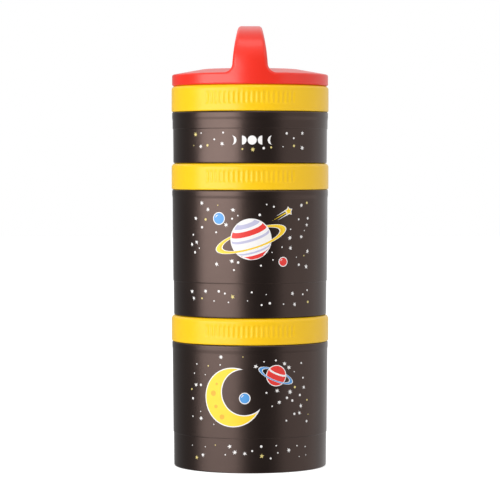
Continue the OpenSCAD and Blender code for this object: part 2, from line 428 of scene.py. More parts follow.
@dataclass(frozen=True)
class Finish:
    """A moulded or printed plastic surface. Its scales and depth are for metres."""

    name: str
    colour: Colour
    shade: Colour
    # The lighter colour of convex edges: a painted highlight, broken up like wear.
    worn_edge_highlight: Colour
    roughness: float
    smudged: float
    metallic: float = 0.0
    specular: float = 0.5
    grain_scale: float = SurfaceGroups.GRAIN_SCALE
    grain_depth: float = 0.00002
    mottle_scale: float = SurfaceGroups.MOTTLE_SCALE

    def material(self) -> bpy.types.Material:
        """Builds the finish's material, or finds it if it is there already.

        Returns:
            The material.
        """
        if self.name in bpy.data.materials:
            return bpy.data.materials[self.name]
        material = bpy.data.materials.new(self.name)
        material.use_nodes = True
        nodes, links = material.node_tree.nodes, material.node_tree.links
        shader = nodes["Principled BSDF"]
        set_inputs(shader, {"Metallic": self.metallic, "Specular IOR Level": self.specular})
        place = nodes.new("ShaderNodeTexCoord")
        grain = self._group(nodes, SurfaceGroups.moulded_grain())
        set_inputs(grain, {"Grain Scale": self.grain_scale, "Mottle Scale": self.mottle_scale})
        wear = self._group(nodes, SurfaceGroups.handling_wear())
        for group in (grain, wear):
            links.new(place.outputs["Object"], group.inputs["Vector"])

        mottled = self._mix(nodes, self.shade, self.colour)
        links.new(grain.outputs["Mottle"], mottled.inputs["Factor"])
        # Convex edges take the lighter colour: a painted highlight, broken up like wear.
        highlit_worn_edge = self._mix(nodes, self.colour, self.worn_edge_highlight)
        links.new(mottled.outputs["Result"], highlit_worn_edge.inputs["A"])
        links.new(wear.outputs["Edge"], highlit_worn_edge.inputs["Factor"])
        links.new(highlit_worn_edge.outputs["Result"], shader.inputs["Base Color"])

        polish = nodes.new("ShaderNodeMapRange")
        set_inputs(polish, {"To Min": self.roughness, "To Max": self.smudged})
        links.new(wear.outputs["Smudge"], polish.inputs["Value"])
        links.new(polish.outputs["Result"], shader.inputs["Roughness"])

        bump = nodes.new("ShaderNodeBump")
        set_inputs(bump, {"Strength": 1, "Distance": self.grain_depth})
        links.new(grain.outputs["Height"], bump.inputs["Height"])
        links.new(bump.outputs["Normal"], shader.inputs["Normal"])
        return material

    @staticmethod
    def _group(nodes: bpy.types.Nodes, tree: bpy.types.NodeTree) -> bpy.types.Node:
        """Places a shared group in a material.

        Args:
            nodes: The material's nodes.
            tree: The group.

        Returns:
            The node that holds it.
        """
        node = nodes.new("ShaderNodeGroup")
        node.node_tree = tree
        return node

    @staticmethod
    def _mix(nodes: bpy.types.Nodes, a: Colour, b: Colour) -> MixSockets:
        """A node that mixes two colours.

        Args:
            nodes: The nodes that it joins.
            a: The first colour. It may be linked instead.
            b: The second colour.

        Returns:
            The node's sockets.
        """
        mix = MixSockets(nodes, "RGBA")
        mix.inputs["A"].default_value = (*a, 1)
        mix.inputs["B"].default_value = (*b, 1)
        return mix


# Each finish's lighter edge colour is a painted highlight, broken up like wear.
CUP_FINISH = Finish(
    name="pearl_brown_cup",
    colour=(0.068, 0.048, 0.042),
    shade=(0.061, 0.043, 0.038),
    worn_edge_highlight=(0.10, 0.074, 0.066),
    roughness=0.285,
    smudged=0.33,
    metallic=1.0,
    grain_scale=3200.0,
    grain_depth=0.000018,
)
RING_FINISH = Finish(
    name="yellow_ring_plastic",
    colour=(0.90, 0.545, 0.002),
    shade=(0.88, 0.520, 0.001),
    worn_edge_highlight=(0.92, 0.60, 0.02),
    roughness=0.285,
    smudged=0.33,
    specular=0.34,
)
LID_FINISH = Finish(
    name="red_lid_plastic",
    colour=(0.81, 0.018, 0.003),
    shade=(0.78, 0.015, 0.002),
    worn_edge_highlight=(0.83, 0.04, 0.02),
    roughness=0.285,
    smudged=0.33,
    specular=0.54,
)


class Ink(Enum):
    """The inks of the printed fronts. Each value is (material number, colour, shade)."""

    WHITE = (0, (0.84, 0.82, 0.81), (0.79, 0.77, 0.76))
    CREAM = (1, (0.72, 0.60, 0.21), (0.62, 0.50, 0.16))
    RED = (2, (0.74, 0.032, 0.024), (0.69, 0.026, 0.020))
    BLUE = (3, (0.075, 0.31, 0.68), (0.064, 0.27, 0.62))
    YELLOW = (4, (0.90, 0.62, 0.012), (0.86, 0.57, 0.010))
    OCHRE = (5, (0.78, 0.40, 0.008), (0.72, 0.36, 0.007))
    LILAC = (6, (0.50, 0.49, 0.66), (0.45, 0.44, 0.60))

    @property
    def number(self) -> int:
        """The ink's place among a print's materials."""
        return self.value[0]

    def material(self) -> bpy.types.Material:
        """Builds the ink's material, or finds it if it is there already.

        Returns:
            The material.
        """
        _, colour, shade = self.value
        return Finish(
            name=f"ink_{self.name.lower()}",
            colour=colour,
            shade=shade,
            worn_edge_highlight=colour,
            roughness=0.36,
            smudged=0.44,
            grain_scale=3600.0,
            grain_depth=0.000012,
            mottle_scale=240.0,
        ).material()


# ---- Threads ----


@dataclass(frozen=True)
class Thread:
    """A coarse right-hand thread of several starts, as on a wide-mouth jar."""

    starts: int = 4
    pitch: float = 4.0
    height: float = 1.1
    root_w: float = 1.6
    crest_w: float = 0.7
    sink: float = 0.3
    low: float = 1.7
    high: float = 8.3
    steps: int = 40
    run_out: float = 0.14

    @property
    def lead(self) -> float:
        """How far a full turn moves the ring."""
        return self.starts * self.pitch

    def add_ridges(
        self, bm: bmesh.types.BMesh, root_r: float, base_z: float, outward: bool
    ) -> None:
        """Adds the thread's ridges to a mesh.

        Args:
            bm: The mesh that gets them.
            root_r: Radius of the wall they stand on.
            base_z: Height of the shoulder that the thread is measured from.
            outward: True on a neck. False in a ring's bore, half a pitch higher.
        """
        side = 1 if outward else -1
        half_pitch = 0.5 * self.pitch / self.lead
        shift = 0.0 if outward else -half_pitch
        for start in range(self.starts):
            turn = 360 * (start / self.starts + shift)
            join(bm, self._ridge(root_r, base_z + self.low, turn, side))

    def _ridge(self, root_r: float, z: float, turn: float, side: int) -> bmesh.types.BMesh:
        """Winds one ridge up a wall, and runs its ends out.

        Args:
            root_r: Radius of the wall.
            z: Height of the ridge's first end.
            turn: Angle of its first end in degrees.
            side: 1 on a neck, -1 in a bore.

        Returns:
            The ridge, a closed surface.
        """
        ridge = bmesh.new()
        buried, crest = root_r - side * self.sink, root_r + side * self.height
        corners = (
            (buried, -self.root_w / 2), (crest, -self.crest_w / 2),
            (crest, self.crest_w / 2), (buried, self.root_w / 2),
        )
        verts = [ridge.verts.new((r * MM, 0, (z + dz) * MM)) for r, dz in corners]
        edges = [ridge.edges.new(pair) for pair in zip(verts, verts[1:] + verts[:1])]
        rise = self.high - self.low
        span = 360 * rise / self.lead
        bmesh.ops.spin(
            ridge, geom=verts + edges, cent=(0, 0, 0), axis=(0, 0, 1),
            dvec=(0, 0, rise * MM / self.steps), angle=math.radians(span),
            steps=self.steps, use_merge=False, use_normal_flip=False,
            use_duplicate=False,
        )
        for v in ridge.verts:
            angle = math.degrees(math.atan2(v.co.y, v.co.x)) % 360
            # Rounding may put the first end just short of a full turn.
            along = 0.0 if angle > (span + 360) / 2 else min(angle / span, 1.0)
            share = min(1.0, min(along, 1 - along) / self.run_out)
            r = math.hypot(v.co.x, v.co.y)
            v.co.xy *= (buried * MM + (r - buried * MM) * share) / r
        bmesh.ops.holes_fill(ridge, edges=ridge.edges, sides=len(corners))
        bmesh.ops.rotate(
            ridge, verts=ridge.verts, cent=(0, 0, 0),
            matrix=Matrix.Rotation(math.radians(turn), 3, "Z"),
        )
        face_outwards(ridge)
        return ridge


# ---- The mouldings ----


@dataclass(frozen=True)
class JointSizes:
    """Sizes that the cups, rings and lid share where they meet, from the outside in."""

    ring_r: float = 39.0
    ring_h: float = 12.9
    ring_wall: float = 2.1
    thread_room: float = 1.5
    flange_t: float = 2.6
    ring_top_round: float = 2.0
    ring_bottom_round: float = 0.7
    seat_w: float = 1.0
    socket_depth: float = 4.4
    swivel_gap: float = 0.3
    hub_wall: float = 1.4
    snap_depth: float = 0.5
    snap_h: float = 1.3
    lead_in: float = 0.3
    ledge_gap: float = 0.4
    groove_play: float = 0.2

    @property
    def bore_r(self) -> float:
        """Radius of a ring's threaded bore."""
        return self.ring_r - self.ring_wall

    @property
    def neck_r(self) -> float:
        """Radius of a cup's neck under its threads."""
        return self.bore_r - self.thread_room

    @property
    def bore_h(self) -> float:
        """Height of a ring's threaded bore."""
        return self.ring_h - self.flange_t

    @property
    def neck_h(self) -> float:
        """Height of a neck's threaded stretch."""
        return self.bore_h - self.ledge_gap

    @property
    def socket_r(self) -> float:
        """Radius of the base socket that takes a ring's hub."""
        return self.ring_r - self.ring_top_round - self.seat_w

    @property
    def hub_r(self) -> float:
        """Outer radius of a ring's hub."""
        return self.socket_r - self.swivel_gap

    @property
    def hub_in_r(self) -> float:
        """Inner radius of a ring's hub."""
        return self.hub_r - self.hub_wall

    @property
    def snap_z(self) -> float:
        """Height of the snap bead's foot above the ring's top."""
        return (self.socket_depth - self.snap_h) / 2 + self.swivel_gap

    def groove(self) -> list[Point]:
        """The outline of a socket's snap groove.

        Returns:
            Its points, from the socket's mouth upwards.
        """
        low, high = self.snap_z - self.groove_play, self.snap_z + self.snap_h + self.groove_play
        groove_r = self.socket_r + self.snap_depth + self.swivel_gap
        return [
            (self.socket_r, low),
            (groove_r, low + self.snap_depth),
            (groove_r, high - self.snap_depth),
            (self.socket_r, high),
        ]


JOINT = JointSizes()
THREAD = Thread()


def base_height(node: str) -> float:
    """Height of a CAD node's base in the frame, in millimetres."""
    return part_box(node)[0].z / MM


def finish_moulding(
    node: str, bm: bmesh.types.BMesh, finish: Finish, body: str
) -> bpy.types.Object:
    """Sets a moulding at its height, finishes it and lets it take its CAD node's place.

    Args:
        node: The CAD node.
        bm: The mesh, with its heights measured from the node's base. It is freed.
        finish: The moulding's finish.
        body: The CAD body it moves with.

    Returns:
        The new object.
    """
    bmesh.ops.translate(bm, verts=bm.verts, vec=(0, 0, base_height(node) * MM))
    piece = finish_piece(f"{node}_moulding", bm, [finish.material()], body)
    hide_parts(node)
    return piece


@dataclass(frozen=True)
class Cup:
    """A cup with its base socket, drafted wall, shoulder and threaded neck."""

    node: str
    wall_h: float
    wall: float = 1.8
    floor_t: float = 2.0
    ring_proud: float = 0.45
    shoulder_setback: float = 0.25
    bead_h: float = 3.0
    bead_taper: float = 1.5
    bead_blend: float = 0.5
    shoulder_round: float = 0.85
    step_h: float = 16.8
    step_depth: float = 0.25
    step_slant: float = 0.1
    step_lip: float = 0.45
    lip_turn: float = 62
    draft: float = 0.44
    base_round: float = 0.8
    floor_fillet: float = 3.0
    neck_wall: float = 1.8
    neck_foot: float = 0.2
    roof_extra: float = 0.2
    rim_wall: float = 1.6
    rim_gap: float = 0.2
    rim_round: float = 0.4
    edge_steps: int = 6
    shoulder_steps: int = 7
    blend_steps: int = 8
    rim_steps: int = 4

    @property
    def rim_r(self) -> float:
        """Outer radius of the rim that stands inside a ring's hub."""
        return JOINT.hub_in_r - JOINT.swivel_gap

    def wall_r(self, z: float) -> float:
        """Outer radius of the wall at a height above the base, above the step line."""
        drop = self.wall_h - self.bead_h - self.bead_taper - z
        return JOINT.ring_r - self.ring_proud - drop * math.tan(math.radians(self.draft))

    def print_r(self, z: float) -> float:
        """Radius of the face that a print lies on, at a height above the base."""
        return self.wall_r(z) - (self.step_depth if z < self.step_h else 0.0)

    def outline(self) -> list[Point]:
        """The cup's outline, from the middle of its base round to the middle of its floor."""
        return self._base() + self._wall() + self._neck() + self._inside()

    def _base(self) -> list[Point]:
        """The socket under the cup, and the rounded edge that the cup rests on.

        Returns:
            The points, from the middle of the socket's roof to the foot of the wall.
        """
        j, turn = JOINT, self.base_round
        base_r = self.wall_r(0) - self.step_depth
        points = [(0.0, j.socket_depth), (j.socket_r, j.socket_depth)]
        points += reversed(j.groove())
        points += [(j.socket_r, j.lead_in), (j.socket_r + j.lead_in, 0.0)]
        points += arc(base_r - turn, turn, turn, -90, 0, self.edge_steps)
        return points

    def _wall(self) -> list[Point]:
        """The wall's outside: its step line, its bead and its rounded shoulder.

        Returns:
            The points, from the step line up to the shoulder's top.
        """
        lip, lip_r = self.step_lip, self.wall_r(self.step_h)
        bead_z = self.wall_h - self.bead_h
        turn, shoulder_r = self.shoulder_round, JOINT.ring_r - self.shoulder_setback
        points = [(lip_r - self.step_depth, self.step_h - self.step_slant)]
        points += arc(lip_r - lip, self.step_h + lip, lip, -self.lip_turn, 0, self.edge_steps)
        points += smooth_step(
            (JOINT.ring_r - self.ring_proud, bead_z - self.bead_taper),
            (shoulder_r, bead_z + self.bead_blend), self.blend_steps,
        )
        points += arc(shoulder_r - turn, self.wall_h - turn, turn, 0, 90, self.shoulder_steps)
        return points

    def _neck(self) -> list[Point]:
        """The neck's outside, which the threads stand on.

        Returns:
            The points, from the neck's foot to the foot of the rim.
        """
        neck_r, top = JOINT.neck_r, self.wall_h + JOINT.neck_h
        return [
            (neck_r + self.neck_foot, self.wall_h),
            (neck_r, self.wall_h + self.neck_foot),
            (neck_r, top - JOINT.lead_in),
            (neck_r - JOINT.lead_in, top),
            (self.rim_r, top),
        ]

    def _inside(self) -> list[Point]:
        """The rim and the cup's inside.

        Returns:
            The points, from the rim's rounded top down to the middle of the floor.
        """
        j, rim, fillet = JOINT, self.rim_round, self.floor_fillet
        rim_in_r = self.rim_r - self.rim_wall
        rim_top = self.wall_h + j.ring_h + j.socket_depth - self.rim_gap
        neck_in_r = j.neck_r - self.neck_wall
        ledge_z = self.wall_h + j.neck_h - self.rim_wall
        roof_z = self.wall_h - self.wall - self.roof_extra
        top_r = j.ring_r - self.ring_proud - self.wall
        floor_z = j.socket_depth + self.floor_t
        floor_r = self.wall_r(floor_z) - self.step_depth - self.wall
        points = arc(self.rim_r - rim, rim_top - rim, rim, 0, 90, self.rim_steps)
        points += arc(rim_in_r + rim, rim_top - rim, rim, 90, 180, self.rim_steps)
        points += [
            (rim_in_r, ledge_z),
            (neck_in_r, ledge_z - (neck_in_r - rim_in_r)),
            (neck_in_r, roof_z),
            (top_r, roof_z - (top_r - neck_in_r)),
        ]
        points += arc(floor_r - fillet, floor_z + fillet, fillet, 0, -90, self.blend_steps)
        points.append((0.0, floor_z))
        return points

    def build(self, body: str) -> bpy.types.Object:
        """Makes the cup, with the threads on its neck.

        Args:
            body: The CAD body that the cup belongs to.

        Returns:
            The cup's object.
        """
        bm = lathe(with_holding_points(self.outline()), closed=False)
        THREAD.add_ridges(bm, JOINT.neck_r, self.wall_h, outward=True)
        return finish_moulding(self.node, bm, CUP_FINISH, body)


@dataclass(frozen=True)
class ScrewRing:
    """A yellow screw ring: threaded bore below, swivel hub above, grip flutes in front."""

    node: str
    sectors: tuple[Sector, ...] = (Sector(turn=72, steps=160), Sector(turn=288, steps=128))
    flutes: int = 19
    flute_step: float = 3.6
    flute_w: float = 1.9
    flute_depth: float = 0.28
    flute_h: float = 6.2
    flute_z: float = 6.6
    flute_end: float = 0.9
    flute_rows: int = 12
    wall_slack: float = 0.01
    bottom_steps: int = 6
    top_steps: int = 12

    def outline(self) -> list[Point]:
        """The ring's closed outline.

        Returns:
            Its points, from the mouth of the bore round.
        """
        j, rows = JOINT, self.flute_rows
        snap_r = j.socket_r + j.snap_depth
        hub_h = j.socket_depth - j.ledge_gap
        bottom, top = j.ring_bottom_round, j.ring_top_round
        low = self.flute_z - self.flute_h / 2
        outline = [(j.bore_r, j.lead_in), (j.bore_r + j.lead_in, 0.0)]
        outline += arc(j.ring_r - bottom, bottom, bottom, -90, 0, self.bottom_steps)
        outline += [(j.ring_r, low + self.flute_h * i / rows) for i in range(rows + 1)]
        outline += arc(j.ring_r - top, j.ring_h - top, top, 0, 90, self.top_steps)
        outline += [
            (j.hub_r, j.ring_h),
            (j.hub_r, j.ring_h + j.snap_z - j.swivel_gap),
            (snap_r, j.ring_h + j.snap_z + j.snap_depth),
            (snap_r, j.ring_h + j.snap_z + j.snap_h - j.snap_depth),
            (j.hub_r - j.lead_in, j.ring_h + hub_h),
            (j.hub_in_r, j.ring_h + hub_h),
            (j.hub_in_r, j.bore_h),
            (j.bore_r, j.bore_h),
        ]
        return outline

    def _cut_flutes(self, bm: bmesh.types.BMesh) -> None:
        """Presses a row of soft upright flutes into the front of the ring's wall.

        Args:
            bm: The ring's mesh.
        """
        wall_r = (JOINT.ring_r - self.wall_slack) * MM
        reach = self.flutes * self.flute_step / 2
        half_w, half_h = self.flute_w / 2, self.flute_h / 2
        for v in bm.verts:
            r = math.hypot(v.co.x, v.co.y)
            angle = math.degrees(math.atan2(v.co.x, -v.co.y))
            beside = abs(v.co.z / MM - self.flute_z)
            if r < wall_r or abs(angle) > reach or beside > half_h:
                continue
            phase = (angle + reach) % self.flute_step - self.flute_step / 2
            across = min(1.0, abs(math.radians(phase)) * JOINT.ring_r / half_w)
            end = min(1.0, (half_h - beside) / self.flute_end)
            depth = self.flute_depth * (1 - across ** 2) * math.sqrt(max(end, 0.0))
            v.co.xy *= 1 - depth * MM / r

    def build(self, body: str) -> bpy.types.Object:
        """Makes the ring, with its threads and flutes.

        Args:
            body: The CAD body that the ring belongs to.

        Returns:
            The ring's object.
        """
        bm = lathe(with_holding_points(self.outline()), closed=True, sectors=self.sectors)
        self._cut_flutes(bm)
        THREAD.add_ridges(bm, JOINT.bore_r, 0.0, outward=False)
        return finish_moulding(self.node, bm, RING_FINISH, body)


@dataclass(frozen=True)
class Station:
    """A place along the loop at which its strap has a section, and how far it flares there.

    It is given by its distance out from the axis and its height above the arch's springing.
    """

    out: float
    height: float
    flare: float


@dataclass(frozen=True)
class CarryLid:
    """The raised lid and its carry loop, one moulding."""

    node: str = "carry_lid"
    setback: float = 0.25
    wall_h: float = 5.7
    crown_rise: float = 2.5
    crown_r: float = 23.6
    crown_round: float = 4.0
    thickness: float = 2.0
    edge_round: float = 1.0
    base_round: float = 0.8
    landing_r: float = 31.4
    loop_h: float = 29.3
    loop_foot_w: float = 17.9
    loop_crown_w: float = 11.8
    strap_t: float = 4.0
    strap_edge: float = 1.8
    fillet: float = 4.0
    squareness: float = 3.3
    flush: float = 0.02
    sink: float = 0.015
    root: float = 1.0
    fillet_steps: int = 18
    past_fillet: float = 1.1
    arch_steps: int = 44
    corner_steps: int = 8
    face_steps: int = 12
    inner_bend_steps: int = 5
    bend_steps: int = 6
    edge_steps: int = 10
    base_steps: int = 6

    @property
    def lid_r(self) -> float:
        """Radius of the lid's wall."""
        return JOINT.ring_r - self.setback

    @property
    def edge_r(self) -> float:
        """Radius at which the wall's rounded top edge begins to turn."""
        return self.lid_r - self.edge_round

    @property
    def edge_z(self) -> float:
        """Height of the centre of the wall's rounded top edge."""
        return self.wall_h - self.edge_round

    @property
    def bend_z(self) -> float:
        """Height of the centre of the bend round the lid's flat crown."""
        return self.wall_h + self.crown_rise - self.crown_round

    @property
    def slope(self) -> float:
        """The slant of the cone between the rounded edge and the bend.

        Returns:
            Its angle in degrees.
        """
        across, up = self.edge_r - self.crown_r, self.edge_z - self.bend_z
        lean = math.acos((self.crown_round - self.edge_round) / math.hypot(across, up))
        return math.degrees(math.atan2(across, up) - lean)

    def slope_z(self, r: float, depth: float = 0.0) -> float:
        """Height of the cone at a radius.

        Args:
            r: The radius.
            depth: How far below the lid's outer face the cone lies.

        Returns:
            The height.
        """
        lean = math.radians(self.slope)
        start = self.bend_z + (self.crown_round - depth) / math.cos(lean)
        return start - (r - self.crown_r) * math.tan(lean)

    def outline(self) -> list[Point]:
        """The lid's outline.

        Returns:
            Its points, from the middle of the ceiling round to the top of the crown.
        """
        j, base = JOINT, self.base_round
        inner_round = self.crown_round - self.thickness
        top = 90 - self.slope
        outline = [(0.0, self.bend_z + inner_round)]
        outline += arc(self.crown_r, self.bend_z, inner_round, 90, top, self.inner_bend_steps)
        outline.append((self.landing_r, self.slope_z(self.landing_r, self.thickness)))
        outline += [(self.landing_r, j.socket_depth), (j.socket_r, j.socket_depth)]
        outline += reversed(j.groove())
        outline += [(j.socket_r, j.lead_in), (j.socket_r + j.lead_in, 0.0)]
        outline += arc(self.lid_r - base, base, base, -90, 0, self.base_steps)
        outline += arc(self.edge_r, self.edge_z, self.edge_round, 0, top, self.edge_steps)
        outline += arc(self.crown_r, self.bend_z, self.crown_round, top, 90, self.bend_steps)
        outline.append((0.0, self.bend_z + self.crown_round))
        return outline

    def face_z(self, r: float) -> float:
        """Height of the lid's outer face.

        Args:
            r: Distance from the lid's axis.

        Returns:
            The face's height there.
        """
        lean = math.sin(math.radians(self.slope))
        if r < self.crown_r + self.crown_round * lean:
            beside = max(0.0, r - self.crown_r)
            return self.bend_z + math.sqrt(self.crown_round ** 2 - beside ** 2)
        if r < self.edge_r + self.edge_round * lean:
            return self.slope_z(r)
        over = max(0.0, self.edge_round ** 2 - (r - self.edge_r) ** 2)
        return self.edge_z + math.sqrt(over)

    # The carry loop

    @property
    def reach(self) -> float:
        """Half the arch's span."""
        return self.lid_r - self.flush

    @property
    def rise(self) -> float:
        """The arch's rise above its springing."""
        return self.loop_h - self.wall_h

    def _half_w(self, z: float) -> float:
        """Half the strap's width, which its two side curves leave.

        Args:
            z: Height above the lid's base.

        Returns:
            Half the width there.
        """
        taper = (self.loop_foot_w - self.loop_crown_w) / 2
        side_r = (self.loop_h ** 2 + taper ** 2) / (2 * taper)
        return self.loop_foot_w / 2 - side_r + math.sqrt(side_r ** 2 - z ** 2)

    def _arch_y(self, h: float) -> float:
        """How far out the arch is at a height above its springing."""
        share = max(0.0, h) / self.rise
        return self.reach * (1 - share ** self.squareness) ** (1 / self.squareness)

    def _stations(self) -> list[Station]:
        """Where the strap's sections stand, up the front half.

        Returns:
            The stations, from inside the wall to the crown.
        """
        n = self.squareness
        stations = [Station(self.reach, -self.root, self.fillet)]
        for i in range(self.fillet_steps + 1):
            a = math.radians(90 * i / self.fillet_steps)
            h = self.fillet * (1 - math.cos(a)) - self.sink
            stations.append(Station(self._arch_y(h), h, self.fillet * (1 - math.sin(a))))
        first = math.asin((self.past_fillet * self.fillet / self.rise) ** (n / 2))
        for i in range(self.arch_steps + 1):
            a = first + (math.pi / 2 - first) * i / self.arch_steps
            out = self.reach * max(0.0, math.cos(a)) ** (2 / n)
            stations.append(Station(out, self.rise * math.sin(a) ** (2 / n), 0.0))
        return stations

    def _section(self, half_w: float, depth: float, outer: float, inner: float) -> list[Point]:
        """The strap's section.

        Args:
            half_w: Half its width.
            depth: Its thickness.
            outer: Radius of the corners of its outer face.
            inner: Radius of the corners of its inner face.

        Returns:
            Its points, each as the distance across and the depth below the outer face.
        """
        steps, corners = self.face_steps, self.corner_steps
        spread = [2 * i / steps - 1 for i in range(1, steps)]
        points = [((half_w - outer) * x, 0.0) for x in spread]
        points += arc(half_w - outer, outer, outer, -90, 0, corners)
        points += arc(half_w - inner, depth - inner, inner, 0, 90, corners)
        points += [((inner - half_w) * x, depth) for x in spread]
        points += arc(inner - half_w, depth - inner, inner, 90, 180, corners)
        points += arc(outer - half_w, outer, outer, 180, 270, corners)
        return points

    def _strap_points(self, station: Station, side: int) -> list[Vector]:
        """The strap's points at a station.

        Args:
            station: One of the front half's stations.
            side: -1 on the front half, 1 on the back half.

        Returns:
            The points, in metres. The outer face follows the lid's round wall, and the
            fillet clings to the lid's slope.
        """
        h, n = station.height, self.squareness
        out_y, out_z = 1.0, 0.0
        if h > 0:
            out_y = station.out ** (n - 1) / self.reach ** n
            out_z = h ** (n - 1) / self.rise ** n
            size = math.hypot(out_y, out_z)
            out_y, out_z = out_y / size, out_z / size
        cling = min(1.0, max(0.0, 1 - h / self.fillet))
        half_w = self._half_w(self.wall_h + h) + station.flare
        thickness = self.strap_t + station.flare
        outer = self.strap_edge + (self.edge_round - self.strap_edge) * cling
        section = self._section(half_w, thickness, outer, self.strap_edge + station.flare)
        points = []
        for across, depth in section:
            sag = self.reach - math.sqrt(self.reach ** 2 - across ** 2)
            y = station.out - out_y * (depth + sag)
            rise = self.face_z(math.hypot(across, y)) - self.wall_h
            z = self.wall_h + h - out_z * depth + cling * rise
            points.append(Vector((-across, side * y, z)) * MM)
        return points

    def _loop(self) -> bmesh.types.BMesh:
        """Lofts the strap through its stations, from the front foot to the back foot.

        Returns:
            The loop, a closed surface.
        """
        half = self._stations()
        rings = [self._strap_points(s, -1) for s in half]
        rings += [self._strap_points(s, 1) for s in reversed(half[:-1])]
        bm = bmesh.new()
        verts = [bm.verts.new(p) for p in rings[0]]
        edges = [bm.edges.new(pair) for pair in zip(verts, verts[1:] + verts[:1])]
        bm.faces.new(verts)
        for ring in rings[1:]:
            grown = bmesh.ops.extrude_edge_only(bm, edges=edges)["geom"]
            new = {v for v in grown if isinstance(v, bmesh.types.BMVert)}
            verts = [
                next(e.other_vert(v) for e in v.link_edges if e.other_vert(v) in new)
                for v in verts
            ]
            for v, p in zip(verts, ring):
                v.co = p
            edges = [bm.edges.get(pair) for pair in zip(verts, verts[1:] + verts[:1])]
        bm.faces.new(verts)
        face_outwards(bm)
        return bm

    def build(self, body: str) -> bpy.types.Object:
        """Makes the lid, with the loop grown into it.

        Args:
            body: The CAD body that the lid belongs to.

        Returns:
            The lid's object.
        """
        block = lathe(with_holding_points(self.outline()), closed=False)
        bm = united(block, self._loop())
        piece = finish_moulding(self.node, bm, LID_FINISH, body)
        evened = piece.modifiers.new("even_shading", "WEIGHTED_NORMAL")
        evened.mode = "FACE_AREA"
        evened.keep_sharp = True
        return piece


# ---- The printed fronts ----


